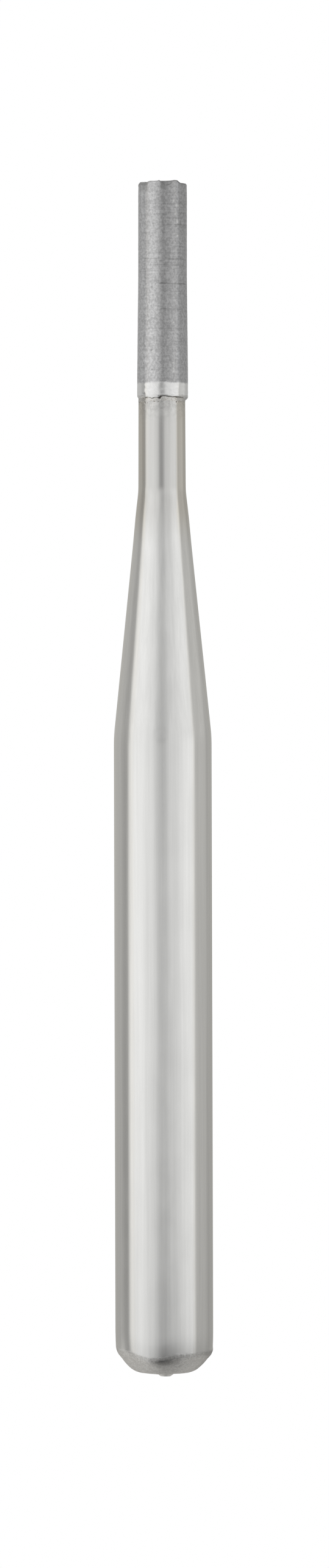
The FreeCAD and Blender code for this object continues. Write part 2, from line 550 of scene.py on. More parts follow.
# The ground side's relief and the wear near its end.
GROUND_DEPTH = 0.0012
GROUND_NOISE = (11.0, 23)
GROUND_STRETCH = (1, 1, 2.2)
WEAR_DEPTH = 0.003
WEAR_RISE = (HEAD_TIP - 0.25, HEAD_TIP - 0.02)
WEAR_NOISE = (6.0, 24)
WEAR_EDGE = (0.0, 0.5)
SCRATCH_DEPTH = 0.004
DOT_DEPTH = 0.006
SPECK_HEIGHT = 0.002

# Edge of the bright band, and painted shade along the rim under the end, which is stronger on the
# left.
MARK_WANDER = [(0.012, 12.0, 26), (0.006, 40.0, 27)]
BAND_SOFTNESS = 0.018
RIM_LEFT_EDGE = (-0.24, -0.16)
RIM_REACH, RIM_REACH_LOSS = 0.055, 0.03
RIM_DARKNESS, RIM_DARKNESS_LOSS = 0.85, 0.58
RIM_SOFTNESS = 0.01


def end_relief(x, y):
    """Height of the end face over its flat: uneven in front, calmer behind."""
    front = read_off(END_PROFILE, x)
    back = BACK_WAVE * np.sin(BACK_TURNS * x + BACK_START) + BACK_LEVEL
    return front + rise(y, *FRONT_TO_BACK) * (back - front)


def turned_away(azimuth, middle):
    """Angle between an azimuth and another, with its sign."""
    return (azimuth - middle + 180) % 360 - 180


def past(value, edge):
    """0 before an azimuth and 1 past it, as soft as a scratch's end."""
    return rise(value, edge - SCRATCH_ENDS, edge + SCRATCH_ENDS)


def scratch_depth(points, azimuth):
    """0 to 1 where a scratch runs, in front or round the back."""
    depth = np.zeros(azimuth.shape)
    height = points[..., 2]
    wobble = noise_at(points * WOBBLE_STRETCH, *WOBBLE_NOISE)
    fade = SCRATCH_STRENGTH + noise_sum(points, SCRATCH_FADING)
    for level, start, end, waviness, strength in FRONT_SCRATCHES:
        line = bell(height, level + waviness * FRONT_WOBBLE * wobble, SCRATCH_WIDTH)
        reach = past(azimuth, start) * (1 - past(azimuth, end))
        depth = np.maximum(depth, line * reach * strength * fade)
    rng = np.random.default_rng(SCRATCH_SEED)
    for _ in range(BACK_SCRATCHES):
        level = rng.uniform(HEAD_FOOT + 0.4, HEAD_TIP - 0.1)
        middle = rng.uniform(95, 265)
        half = rng.uniform(8, 60)
        strength = rng.uniform(0.3, 0.8)
        away = np.abs(turned_away(azimuth, middle))
        line = bell(height, level + BACK_WOBBLE * wobble, SCRATCH_WIDTH)
        reach = (1 - past(away, half)) * rise(np.abs(azimuth), *BACK_BEGINS)
        depth = np.maximum(depth, line * reach * strength * fade)
    return np.clip(depth, 0, 1)


def dots(points, azimuth, listed, seed, count):
    """0 to 1 at the listed dots and at others like them round the back."""
    total = np.zeros(azimuth.shape)
    rng = np.random.default_rng(seed)
    spread = [
        (rng.uniform(HEAD_FOOT + 0.35, HEAD_TIP - 0.1), rng.uniform(90, 270),
         rng.uniform(0.009, 0.016), rng.uniform(0.4, 0.9))
        for _ in range(count)
    ]
    for level, middle, size, strength in listed + spread:
        across = np.radians(turned_away(azimuth, middle)) * HEAD_RADIUS
        away = np.hypot(across, points[..., 2] - level)
        total = np.maximum(total, strength * bell(away, 0, size))
    return total


def patch(across, below, amount, middle, width, depth, reach):
    """Soft patch at a place across the head and at a depth below its end."""
    return amount * bell(across, middle, width) * bell(below, depth, reach)


def chip_form(points):
    """Depth of the chips along the end's edge, and a mark of painted shade: a shadow along the
    front chip's crease and patches under the end.
    """
    x = points[..., 0]
    azimuth = azimuth_of(points)
    below = HEAD_TIP - points[..., 2]
    in_front = points[..., 1] < 0
    crease = read_off(CREASE, x)
    inside = rise(x, *CHIP_LEFT) * (1 - rise(x, *CHIP_RIGHT))
    wander = noise_sum(points, CREASE_WANDER)
    front_chip = CHIP_DEPTH * rise(crease - below + wander, 0, CHIP_SLOPE) * inside * in_front
    # Painted shadow along the crease, and patches of painted shade under the end in front.
    line = bell(below - crease + wander, 0, CREASE_WIDTH) * inside * in_front
    shade = patch(x, below, *CHIP_SHADE) * in_front
    left_shade = patch(x, below, *LEFT_SHADE) * in_front
    left_flat = patch(azimuth, below, *LEFT_FLAT)
    back_chips = patch(np.abs(azimuth), below, *BACK_CHIPS)
    return front_chip + left_flat + back_chips, np.maximum(np.maximum(line, shade), left_shade)


def head_outline():
    """Outline of the head's side, and of the head with its end face."""
    radius = HEAD_RADIUS + HEAD_FULLNESS
    side = rounded_outline([
        (HEAD_CORE_RADIUS, HEAD_FOOT, 0),
        (HEAD_FOOT_RADIUS, HEAD_FOOT, FOOT_EDGE_ROUNDING),
        (HEAD_FOOT_RADIUS, TAPER_START, 0),
        (radius, TAPER_END, 0),
        (radius, HEAD_TIP, TIP_EDGE_ROUNDING),
        (HEAD_RADIUS - END_FLAT_START, HEAD_TIP, 0),
    ])
    side = resample(side, HEAD_SPACINGS)
    end_radii = np.linspace(side[-1, 0], END_POLE_RADIUS, END_RINGS)[1:]
    end = np.stack([end_radii, np.full(len(end_radii), HEAD_TIP)], axis=1)
    return side, np.concatenate([side, end])


def rim_painted_shade(x, over_tip):
    """Painted shade along the rim under the end, by place across the head and height over its
    flat.
    """
    off_left = rise(x, *RIM_LEFT_EDGE)
    reach = RIM_REACH - RIM_REACH_LOSS * off_left
    darkness = RIM_DARKNESS - RIM_DARKNESS_LOSS * off_left
    return darkness * rise(over_tip, -reach - RIM_SOFTNESS, RIM_SOFTNESS - reach)


def make_head():
    """Head piece, with marks for scratches, dots, bright band and painted shade under its end."""
    side, outline = head_outline()
    rings = rings_from(outline, HEAD_SEGMENTS)
    azimuth = azimuth_of(rings)
    height = rings[..., 2]
    on_side = (np.arange(len(outline)) < len(side))[:, None] * (height < HEAD_TIP - SIDE_MARGIN)
    scratch = scratch_depth(rings, azimuth) * on_side
    pit = dots(rings, azimuth, FRONT_PITS, *BACK_PITS) * on_side
    speck = dots(rings, azimuth, FRONT_SPECKS, *BACK_SPECKS) * on_side
    chip, shade = chip_form(rings)
    ground = GROUND_DEPTH * noise_at(rings * GROUND_STRETCH, *GROUND_NOISE)
    wear = rise(noise_at(rings, *WEAR_NOISE), *WEAR_EDGE)
    worn = -WEAR_DEPTH * rise(height, *WEAR_RISE) * wear
    amounts = ground + worn - chip - SCRATCH_DEPTH * scratch - DOT_DEPTH * pit
    amounts = amounts + SPECK_HEIGHT * speck
    lift = end_relief(rings[..., 0], rings[..., 1]) + noise_sum(rings, END_RELIEF)
    rings = pushed_out(rings, outward(outline), amounts * on_side)
    rings[..., 2] += lift * rise(height, *END_RELIEF_RISE)
    rings[..., 2] = np.minimum(rings[..., 2], HEAD_HIGHEST)
    rings[..., 0] += HEAD_AXIS_X + HEAD_LEAN * (height - HEAD_FOOT)
    wavy_height = height + noise_sum(rings, MARK_WANDER)
    band = 1 - rise(wavy_height, BAND_TOP - BAND_SOFTNESS, BAND_TOP + BAND_SOFTNESS)
    # Painted shade under the end: along the chip's crease, in patches and along the rim.
    painted_head_shade = np.maximum(shade, rim_painted_shade(rings[..., 0], wavy_height - HEAD_TIP)) * on_side
    marks = {"scratch": scratch, "pit": pit, "speck": speck, "band": band, "painted_head_shade": painted_head_shade}
    return skin("head_body", rings, "root", "head", marks)


# Materials. Patterns are placed by the object's own coordinates, in millimetres.

def set_inputs(node, values):
    """Gives inputs of a node plain values, by the inputs' names."""
    for name, value in values.items():
        node.inputs[name].default_value = value


def link_all(tree, pairs):
    """Links the source to the target in each pair of sockets."""
    for source, target in pairs:
        tree.links.new(source, target)


def new_material(name):
    """Material with nodes, and its node tree."""
    material = bpy.data.materials.new(name)
    material.use_nodes = True
    return material, material.node_tree


class Shader:
    """One metal material, and short ways to add nodes that steer it."""

    def __init__(self, name, metal_colour, roughness, anisotropy, edge_tint=(1, 1, 1)):
        self.material, self.tree = new_material(name)
        self.surface = self.tree.nodes["Principled BSDF"]
        set_inputs(self.surface, {
            "Metallic": 1.0,
            "Base Color": (*metal_colour, 1),
            "Roughness": roughness,
            "Specular Tint": (*edge_tint, 1),
            "Anisotropic": anisotropy,
            "Anisotropic Rotation": 0.25,
        })
        tangent = self.node("Tangent")
        tangent.direction_type = "RADIAL"
        tangent.axis = "Z"
        self.link(tangent.outputs["Tangent"], self.surface.inputs["Tangent"])
        where = self.node("TexCoord").outputs["Object"]
        self.place = self.stretched(where, (1 / MM, 1 / MM, 1 / MM))
        parts = self.node("SeparateXYZ")
        self.link(self.place, parts.inputs[0])
        self.side = parts.outputs["X"]
        self.height = parts.outputs["Z"]

    def node(self, kind):
        return self.tree.nodes.new("ShaderNode" + kind)

    def link(self, source, target):
        self.tree.links.new(source, target)

    def put(self, value, target):
        """Links a socket to the target, or sets the target to a plain value."""
        if isinstance(value, bpy.types.NodeSocket):
            self.link(value, target)
        else:
            target.default_value = value

    def math(self, operation, first, second=0.0, kind="Math"):
        math_node = self.node(kind)
        math_node.operation = operation
        self.put(first, math_node.inputs[0])
        self.put(second, math_node.inputs[1])
        return math_node.outputs[0]

    def stretched(self, place, factors):
        """A place with each coordinate multiplied by its own factor."""
        return self.math("MULTIPLY", place, factors, "VectorMath")

    def times(self, first, second):
        return self.math("MULTIPLY", first, second)

    def distance(self, value, middle):
        """How far a value is from a middle, on either side."""
        return self.math("ABSOLUTE", self.math("SUBTRACT", value, middle))

    def ramp(self, value, low, high, out_low=0.0, out_high=1.0):
        """Smooth change from out_low to out_high as the value goes from low to high."""
        change = self.node("MapRange")
        change.interpolation_type = "SMOOTHSTEP"
        self.put(value, change.inputs["Value"])
        set_inputs(change, {
            "From Min": low, "From Max": high, "To Min": out_low, "To Max": out_high,
        })
        return change.outputs["Result"]

    def grain(self, scale, stretch, detail, roughness):
        """Noise from 0 to 1; a stretch over 1 makes it finer along that axis."""
        texture = self.node("TexNoise")
        self.link(self.stretched(self.place, stretch), texture.inputs["Vector"])
        set_inputs(texture, {"Scale": scale, "Detail": detail, "Roughness": roughness})
        return texture.outputs["Fac"]

    def mark(self, name):
        """A mark that the mesh carries at its points."""
        attribute = self.node("Attribute")
        attribute.attribute_name = name
        return attribute.outputs["Fac"]

    def blend(self, share, first, second, blend_type="MIX"):
        """Colour from the first to the second, by a share."""
        mix = self.node("Mix")
        mix.data_type = "RGBA"
        mix.blend_type = blend_type
        self.put(share, mix.inputs["Factor"])
        for value, target in ((first, mix.inputs[6]), (second, mix.inputs[7])):
            self.put((*value, 1) if isinstance(value, tuple) else value, target)
        return mix.outputs[2]

    def scaled(self, colour, factor):
        """A colour made lighter or darker by a factor."""
        grey = self.node("CombineColor")
        for channel in range(3):
            self.put(factor, grey.inputs[channel])
        return self.blend(1.0, colour, grey.outputs[0], "MULTIPLY")

    def between(self, share, first, second):
        """Number from the first to the second, by a share."""
        mix = self.node("Mix")
        mix.data_type = "FLOAT"
        self.put(share, mix.inputs["Factor"])
        self.put(first, mix.inputs[2])
        self.put(second, mix.inputs[3])
        return mix.outputs[0]

    def bump(self, height, depth):
        """Relief of the given depth, added to the surface's normal."""
        bump = self.node("Bump")
        set_inputs(bump, {"Strength": 1.0, "Distance": depth * MM})
        self.put(height, bump.inputs["Height"])
        self.link(bump.outputs["Normal"], self.surface.inputs["Normal"])

    def finish(self, piece, colour, roughness):
        """Gives the piece this material, with colour and roughness."""
        self.put(colour, self.surface.inputs["Base Color"])
        self.put(roughness, self.surface.inputs["Roughness"])
        piece.data.materials.append(self.material)


STEEL = (0.82, 0.818, 0.803)
STEEL_NECK = (0.7, 0.694, 0.675)
STEEL_STAINED = (0.72, 0.693, 0.635)
STEEL_EDGE_TINT = (1.0, 0.99, 0.965)
END_LIGHT = (0.69, 0.684, 0.668)
END_DARK = (0.52, 0.514, 0.5)
PIP_LIGHT = (0.95, 0.944, 0.925)
PIT_BROWN = (0.24, 0.21, 0.18)
# The steel's noises: scale, stretch along X, Y and Z, detail, roughness.
STREAKS = (16.0, (1, 1, 0.015), 5.0, 0.65)
CLOUDS = (2.6, (1, 1, 0.5), 3.0, 0.5)
MOTTLE = (14.0, (1, 1, 1), 5.0, 0.65)
SAND = (40.0, (1, 1, 1), 3.0, 0.6)
# Where the neck, its stained sides and the part by the joint begin and are full.
NECK_BEGINS = (NECK_FOOT - 1.0, NECK_FOOT - 0.2)
FRONT_MIDDLE = -0.02
STAIN_BEGINS = (0.235, 0.285)
JOINT_BEGINS = (NECK_TIP - 0.46, NECK_TIP - 0.02)
# Small painted highlight in front, at the corner where the cone begins.
HIGHLIGHT_SPOT_HEIGHT = 10.425
HIGHLIGHT_SPOT_SIDE = -0.03
HIGHLIGHT_SPOT_FADE = (0, 0.14, 1, 0)
# What a noise or a mark does: its low and high value, and the outcome at each.
STAIN_CLOUDS = (0.3, 0.6, 0.6, 1.0)
STREAK_LIGHT = (0.25, 0.75, 0.95, 1.03)
HIGHLIGHT_SPOT_LIGHT = (0, 1, 1, 1.14)
JOINT_LIGHT = (0.36, 0.64, 0.81, 1.04)
END_SHADE_DARKENING = (0, 1, 1, 0.52)
END_COLOUR_EDGE = (0.38, 0.62)
PIP_SHARE = (0.1, 0.5, 0, 0.4)
SHANK_ROUGHNESS = (0.3, 0.7, 0.18, 0.22)
END_ROUGHNESS = (0.3, 0.7, 0.38, 0.46)
NECK_ROUGHNESS = 0.16
JOINT_DULLNESS = 0.09
# Shares of mottle in the end's grain, of a pit's brown, and of noises in the relief.
MOTTLE_SHARE = 0.45
PIT_SHARE = 0.9
SAND_RELIEF = 0.7
JOINT_RELIEF = 0.25
STREAK_RELIEF = 0.03
STEEL_RELIEF = 0.006


def end_colour(look, mottle, sand):
    """Mottled colour of the matte end, with painted shade in front and its pip."""
    grain = look.between(MOTTLE_SHARE, sand, mottle)
    colour = look.blend(look.ramp(grain, *END_COLOUR_EDGE), END_DARK, END_LIGHT)
    # Painted shade darkens the end in front.
    colour = look.scaled(colour, look.ramp(look.mark("painted_end_shade"), *END_SHADE_DARKENING))
    return look.blend(look.ramp(look.mark("pip"), *PIP_SHARE), colour, PIP_LIGHT)


def painted_highlight_spot(look):
    """1 at the painted highlight at the foot of the cone, 0 away from it."""
    off_height = look.ramp(look.distance(look.height, HIGHLIGHT_SPOT_HEIGHT), *HIGHLIGHT_SPOT_FADE)
    off_side = look.ramp(look.distance(look.side, HIGHLIGHT_SPOT_SIDE), *HIGHLIGHT_SPOT_FADE)
    return look.times(off_height, off_side)


def dress_shank(piece):
    """Fine ground steel, a dull stained neck and a matte mottled end."""
    look = Shader("shank_steel", STEEL, 0.2, 0.6, STEEL_EDGE_TINT)
    streaks = look.grain(*STREAKS)
    clouds = look.grain(*CLOUDS)
    mottle = look.grain(*MOTTLE)
    sand = look.grain(*SAND)
    rough = look.mark("rough")
    on_neck = look.ramp(look.height, *NECK_BEGINS)
    by_joint = look.ramp(look.height, *JOINT_BEGINS)
    off_front = look.ramp(look.distance(look.side, FRONT_MIDDLE), *STAIN_BEGINS)
    stain = look.times(off_front, look.ramp(clouds, *STAIN_CLOUDS))
    colour = look.blend(on_neck, STEEL, look.blend(stain, STEEL_NECK, STEEL_STAINED))
    colour = look.scaled(colour, look.ramp(streaks, *STREAK_LIGHT))
    # Painted highlight at the corner where the cone begins.
    colour = look.scaled(colour, look.ramp(painted_highlight_spot(look), *HIGHLIGHT_SPOT_LIGHT))
    joint_colour = look.scaled(colour, look.ramp(mottle, *JOINT_LIGHT))
    colour = look.blend(by_joint, colour, joint_colour)
    colour = look.blend(rough, colour, end_colour(look, mottle, sand))
    pitted = look.times(look.mark("pit"), PIT_SHARE)
    colour = look.blend(pitted, colour, PIT_BROWN)
    duller = look.times(by_joint, JOINT_DULLNESS)
    neck_roughness = look.math("ADD", duller, NECK_ROUGHNESS)
    roughness = look.between(on_neck, look.ramp(clouds, *SHANK_ROUGHNESS), neck_roughness)
    roughness = look.between(rough, roughness, look.ramp(mottle, *END_ROUGHNESS))
    sand_relief = look.times(look.math("SUBTRACT", sand, 0.5), rough)
    joint_share = look.times(by_joint, JOINT_RELIEF)
    joint_relief = look.times(look.math("SUBTRACT", mottle, 0.5), joint_share)
    relief = look.math("ADD", look.times(sand_relief, SAND_RELIEF), joint_relief)
    relief = look.math("ADD", relief, look.times(streaks, STREAK_RELIEF))
    look.bump(relief, STEEL_RELIEF)
    look.finish(piece, colour, roughness)


FILLER_ABOVE = (0.8, 0.798, 0.788)
FILLER_BELOW = (0.7, 0.688, 0.66)
FILLER_DULL = (0.44, 0.41, 0.37)
CRACK_AND_SHADOW_DARK = (0.14, 0.133, 0.122)
FILLER_MOTTLE = (34.0, (1, 1, 1), 3.0, 0.6)
FILLER_DULL_EDGE = (0.5, 0.66)
FILLER_LIGHT = (0.25, 0.75, 0.88, 1.06)
FILLER_ROUGHNESS = (0.3, 0.7, 0.14, 0.26)
CRACK_SHARE = (0.12, 0.65)
FILLER_RELIEF = 0.002


def dress_braze(piece):
    """Dull filler, darkened along the crack by dark filler and painted shadow, and stained brown
    below it.
    """
    look = Shader("braze_metal", FILLER_ABOVE, 0.18, 0.5)
    mottle = look.grain(*FILLER_MOTTLE)
    below = look.blend(look.ramp(mottle, *FILLER_DULL_EDGE), FILLER_BELOW, FILLER_DULL)
    colour = look.blend(look.mark("below_crack"), FILLER_ABOVE, below)
    colour = look.scaled(colour, look.ramp(mottle, *FILLER_LIGHT))
    # The crack, darkened by dark filler and painted shadow in its gap, with painted shade in
    # front.
    colour = look.blend(look.ramp(look.mark("crack_and_shadow"), *CRACK_SHARE), colour, CRACK_AND_SHADOW_DARK)
    look.bump(mottle, FILLER_RELIEF)
    look.finish(piece, colour, look.ramp(mottle, *FILLER_ROUGHNESS))


CARBIDE = (0.57, 0.569, 0.57)
CARBIDE_SIDES = (0.57, 0.577, 0.592)
CARBIDE_BAND = (0.85, 0.848, 0.838)
# Painted highlight: the band's colour towards its sides.
CARBIDE_BAND_HIGHLIGHT = (0.94, 0.949, 0.949)
SCRATCH_DARK = (0.17, 0.17, 0.168)
SPECK_LIGHT = (0.95, 0.95, 0.93)
# Colour of the painted shade under the head's end.
HEAD_SHADE_DARK = (0.27, 0.27, 0.265)
# The carbide's noises, as above.
GRINDING_LINES = (5.0, (0.4, 0.4, 10), 4.0, 0.6)
SPECKLE = (27.0, (1, 1, 0.9), 3.0, 0.66)
PATCHES = (4.0, (1, 1, 1.3), 3.0, 0.6)
# What a noise or a place does, as above.
LINE_LIGHT = (0.3, 0.7, 0.93, 1.065)
SPECKLE_LIGHT = (0.3, 0.7, 0.81, 1.19)
PATCH_LIGHT = (0.3, 0.7, 0.97, 1.03)
# Painted shade: lighter at the head's foot and darker towards its end, and darker on its right
# side.
PAINTED_HEIGHT_SHADE = (HEAD_FOOT, HEAD_TIP, 1.06, 0.98)
PAINTED_SIDE_SHADE = (-0.03, 0.06, 1.0, 0.95)
BAND_LIGHT = (0.2, 0.8, 0.92, 1.04)
CARBIDE_ROUGHNESS = (0.3, 0.7, 0.32, 0.36)
BAND_ROUGHNESS = 0.13
SIDES_BEGIN = (0.23, 0.27)
BAND_HIGHLIGHT_BEGINS = (0.26, 0.3)
# Shares of the dark or light colour at a full mark.
DARK_SHARE = 0.75
LIGHT_SHARE = 0.95
# The relief: share of the grinding lines, level of its middle, loss on the band, depth.
LINES_RELIEF = 0.5
RELIEF_MIDDLE = 0.75
BAND_RELIEF = (0, 1, 1.0, 0.1)
CARBIDE_RELIEF = 0.003


def dress_head(piece):
    """Satin grey carbide with grinding lines round it and a bright band at its foot, painted shade
    towards its end, on its right and under its end, and a painted highlight on the band's sides.
    """
    look = Shader("carbide", CARBIDE, 0.34, 0.9)
    lines = look.grain(*GRINDING_LINES)
    speckle = look.grain(*SPECKLE)
    patches = look.grain(*PATCHES)
    band = look.mark("band")
    # Brightness from grinding lines, speckle and patches, with painted shade by height and on the
    # right side.
    light = look.ramp(lines, *LINE_LIGHT)
    for value, effect in (
        (speckle, SPECKLE_LIGHT), (patches, PATCH_LIGHT),
        (look.height, PAINTED_HEIGHT_SHADE), (look.side, PAINTED_SIDE_SHADE),
    ):
        light = look.times(light, look.ramp(value, *effect))
    off_middle = look.distance(look.side, 0.0)
    ground = look.blend(look.ramp(off_middle, *SIDES_BEGIN), CARBIDE, CARBIDE_SIDES)
    ground = look.scaled(ground, light)
    polished = look.scaled(CARBIDE_BAND, look.ramp(speckle, *BAND_LIGHT))
    # Painted highlight, lighter towards the band's sides.
    band_highlight_share = look.ramp(off_middle, *BAND_HIGHLIGHT_BEGINS)
    polished = look.blend(band_highlight_share, polished, CARBIDE_BAND_HIGHLIGHT)
    colour = look.blend(band, ground, polished)
    # Dark scratches and pits, painted shade under the end, and light specks.
    dark = look.math("MAXIMUM", look.mark("scratch"), look.mark("pit"))
    for mark, share, mark_colour in (
        (dark, DARK_SHARE, SCRATCH_DARK),
        (look.mark("painted_head_shade"), DARK_SHARE, HEAD_SHADE_DARK),
        (look.mark("speck"), LIGHT_SHARE, SPECK_LIGHT),
    ):
        colour = look.blend(look.times(mark, share), colour, mark_colour)
    roughness = look.between(band, look.ramp(patches, *CARBIDE_ROUGHNESS), BAND_ROUGHNESS)
    relief = look.math("ADD", look.times(lines, LINES_RELIEF), speckle)
    relief = look.math("SUBTRACT", relief, RELIEF_MIDDLE)
    relief = look.times(relief, look.ramp(band, *BAND_RELIEF))
    look.bump(relief, CARBIDE_RELIEF)
    look.finish(piece, colour, roughness)


# The stage: camera, surroundings, floor, the tent that the metal mirrors, and lamps.

CAMERA_DISTANCE = 115.0
CAMERA_HEIGHT = 9.6245
CAMERA_SIDE = 0.027
CAMERA_ROLL = 0.15
CAMERA_CLIP_METRES = (0.001, 10.0)
PICTURE_HEIGHT = 25.66
SENSOR = 36.0


def make_camera():
    """Level camera in front, rolled a little as in the photograph."""
    data = bpy.data.cameras.new("camera")
    data.sensor_width = SENSOR
    data.lens = SENSOR * CAMERA_DISTANCE / PICTURE_HEIGHT
    data.clip_start, data.clip_end = CAMERA_CLIP_METRES
    camera = new_object("camera", data)
    camera.location = Vector((CAMERA_SIDE, -CAMERA_DISTANCE, CAMERA_HEIGHT)) * MM
    camera.rotation_euler = (math.radians(90), math.radians(CAMERA_ROLL), 0)
    bpy.context.scene.camera = camera


SEEN_STRENGTH = 1.0
LIGHT_STRENGTH = 0.6


def make_world():
    """White surroundings, brighter when seen or mirrored than as a light."""
    world = bpy.data.worlds.new("surroundings")
    bpy.context.scene.world = world
    world.use_nodes = True
    tree = world.node_tree
    white = tree.nodes["Background"]
    white.inputs["Color"].default_value = (1, 1, 1, 1)
    path = tree.nodes.new("ShaderNodeLightPath")
    seen = tree.nodes.new("ShaderNodeMath")
    seen.operation = "MAXIMUM"
    strength = tree.nodes.new("ShaderNodeMapRange")
    set_inputs(strength, {"To Min": LIGHT_STRENGTH, "To Max": SEEN_STRENGTH})
    link_all(tree, [
        (path.outputs["Is Camera Ray"], seen.inputs[0]),
        (path.outputs["Is Glossy Ray"], seen.inputs[1]),
        (seen.outputs[0], strength.inputs["Value"]),
        (strength.outputs["Result"], white.inputs["Strength"]),
    ])


FLOOR_HEIGHT = -15.0
FLOOR_SIZE = 400.0
FLOOR_GREY = (0.86, 0.86, 0.86, 1)
FLOOR_ROUGHNESS = 0.9
# How white the floor is under the bur, and where it turns white.
FLOOR_WHITENESS = 0.5
FLOOR_FADE = (20.0, 60.0)


def floor_material():
    """Pale grey that turns pure white away from the bur, as the camera sees it."""
    material, tree = new_material("floor_pale")
    surface = tree.nodes["Principled BSDF"]
    set_inputs(surface, {"Base Color": FLOOR_GREY, "Roughness": FLOOR_ROUGHNESS})
    glow = tree.nodes.new("ShaderNodeEmission")
    path = tree.nodes.new("ShaderNodeLightPath")
    where = tree.nodes.new("ShaderNodeNewGeometry")
    length = tree.nodes.new("ShaderNodeVectorMath")
    length.operation = "LENGTH"
    far = tree.nodes.new("ShaderNodeMapRange")
    far.interpolation_type = "SMOOTHSTEP"
    near, away = FLOOR_FADE
    set_inputs(far, {"From Min": near * MM, "From Max": away * MM, "To Min": FLOOR_WHITENESS})
    share = tree.nodes.new("ShaderNodeMath")
    share.operation = "MULTIPLY"
    mix = tree.nodes.new("ShaderNodeMixShader")
    out = tree.nodes["Material Output"]
    link_all(tree, [
        (where.outputs["Position"], length.inputs[0]),
        (length.outputs["Value"], far.inputs["Value"]),
        (far.outputs["Result"], share.inputs[0]),
        (path.outputs["Is Camera Ray"], share.inputs[1]),
        (share.outputs[0], mix.inputs["Fac"]),
        (surface.outputs[0], mix.inputs[1]),
        (glow.outputs[0], mix.inputs[2]),
        (mix.outputs[0], out.inputs["Surface"]),
    ])
    return material


def make_floor():
    """Floor below the held bur, which the metal doesn't mirror."""
    half = FLOOR_SIZE / 2 * MM
    level = FLOOR_HEIGHT * MM
    mesh = bpy.data.meshes.new("floor")
    mesh.from_pydata(
        [(-half, -half, level), (half, -half, level), (half, half, level), (-half, half, level)],
        [], [(0, 1, 2, 3)],
    )
    mesh.materials.append(floor_material())
    floor = new_object("floor", mesh)
    floor.visible_glossy = False


# Tent round the bur, which only its reflections see: brightness by azimuth at mid-height.
TENT_RADIUS = 60.0
TENT_LEVELS = [
    (-180, 0.5), (-122, 0.49), (-106, 0.38), (-93, 0.38), (-86, 0.97), (-70, 1.0),
    (-52, 1.0), (-40, 0.89), (-24, 0.85), (-11, 0.66), (7, 0.65), (14, 0.77), (34, 0.82),
    (44, 0.92), (60, 0.98), (76, 0.98), (82, 0.54), (114, 0.54), (126, 0.44), (180, 0.44),
]
# How far the levels on the left are turned: degrees, elevation, width; and more near the top.
LEFT_TURNS = [(4.5, 7.7, 1.2), (-1, 14, 1.5), (3, 17.5, 1.5), (8, 4, 1.4)]
TOP_TURN = 9
TOP_TURN_BEGINS = (19, 22)
# Elevations where the lights in front begin and end.
FRONT_LIGHTS_LOW = (-22, -15)
FRONT_LIGHTS_HIGH = (20, 30)
# What the tent's brightness is multiplied by above and below that, by azimuth.
OUTSIDE_SHARES = [
    (-180, 1.3), (-128, 2.1), (-118, 3.5), (-103, 3.5), (-95, 1.5), (-87, 0.95), (-52, 1.18),
    (-39, 1.3), (-35, 1.1), (-10, 0.95), (-4, 0.28), (30, 0.22), (36, 0.26), (72, 0.28),
    (92, 0.46), (140, 0.55), (180, 1.1),
]
# The same at the elevations that the neck mirrors.
NECK_ELEVATION = (8.2, 1.8)
NECK_SHARES = [
    (-180, 1), (-95, 1), (-72, 0.96), (-56, 0.82), (-41, 0.95), (-24, 0.82), (0, 0.88),
    (14, 0.86), (27, 0.92), (41, 0.83), (56, 0.76), (64, 0.72), (75, 0.7), (82, 1.0),
    (100, 1.18), (118, 1.22), (140, 1), (180, 1),
]
# A brighter spot that the joint mirrors: amount, elevation, width; azimuth, width.
JOINT_GLINT = (0.3, 9.7, 0.6)
JOINT_GLINT_AZIMUTH = (-102, 16)
# Share by which the tent dims downwards, by azimuth, and just above its low end.
DIMMING_BEGINS = (-2, 14)
DIMMING_LEVELS = [
    (-180, 0.14), (-95, 0.14), (-80, 0.02), (-20, 0.02), (0, 0.03), (40, 0.06), (180, 0.14),
]
LOW_END_BEGINS = (13.1, 17.0)
LOW_END_DIMMING = [
    (-180, 0.1), (-115, 0.12), (-104, 0.42), (-84, 0.3), (-56, 0.34), (-27, 0.44), (-8, 0.64),
    (8, 0.7), (20, 0.64), (34, 0.4), (60, 0.16), (180, 0.12),
]
# Brightness by azimuth of what lies below the bur.
BELOW_BEGINS = (21, 36)
BELOW_LEVELS = [
    (-180, 0.54), (-125, 0.72), (-95, 0.8), (-60, 0.8), (-30, 0.32), (-10, 0.24), (20, 0.24),
    (45, 0.34), (80, 0.58), (125, 0.6), (180, 0.54),
]
# The dark spot below and in front: its direction, its inner and outer edge, its brightness.
SPOT_AZIMUTH = 5.0
SPOT_ELEVATION = -67.0
SPOT_EDGE = (12, 28)
SPOT_LEVEL = 0.14
# The dark column behind the camera, which the neck and the band mirror.
LENS_DEPTH = 0.36
LENS_FOOT = (2, 5)
LENS_LOWER_PART = (-4, 11.5)
LENS_SPLIT = (8.7, 9.3)
LENS_LEFT_SIDE = (-26, -15)
LENS_RIGHT_SIDE = (-5, 25)
LENS_HEAD = (9.9, 11.5)
# Brightness high above the bur.
ABOVE_BEGINS = (42, 58)
ABOVE_LEVEL = 0.55
# Colour of the tent's sides, beyond these azimuths.
SIDE_TINT = np.array([1.0, 0.988, 0.962])
SIDE_TINT_BEGINS = (70, 78)


def off_centre(azimuth, elevation, distance):
    """Points in a direction and at a distance from the middle of the bur."""
    across = distance * np.cos(np.radians(elevation))
    x = across * np.sin(np.radians(azimuth))
    y = -across * np.cos(np.radians(azimuth))
    z = CAMERA_HEIGHT + distance * np.sin(np.radians(elevation))
    return np.stack([x, y, z], axis=-1)


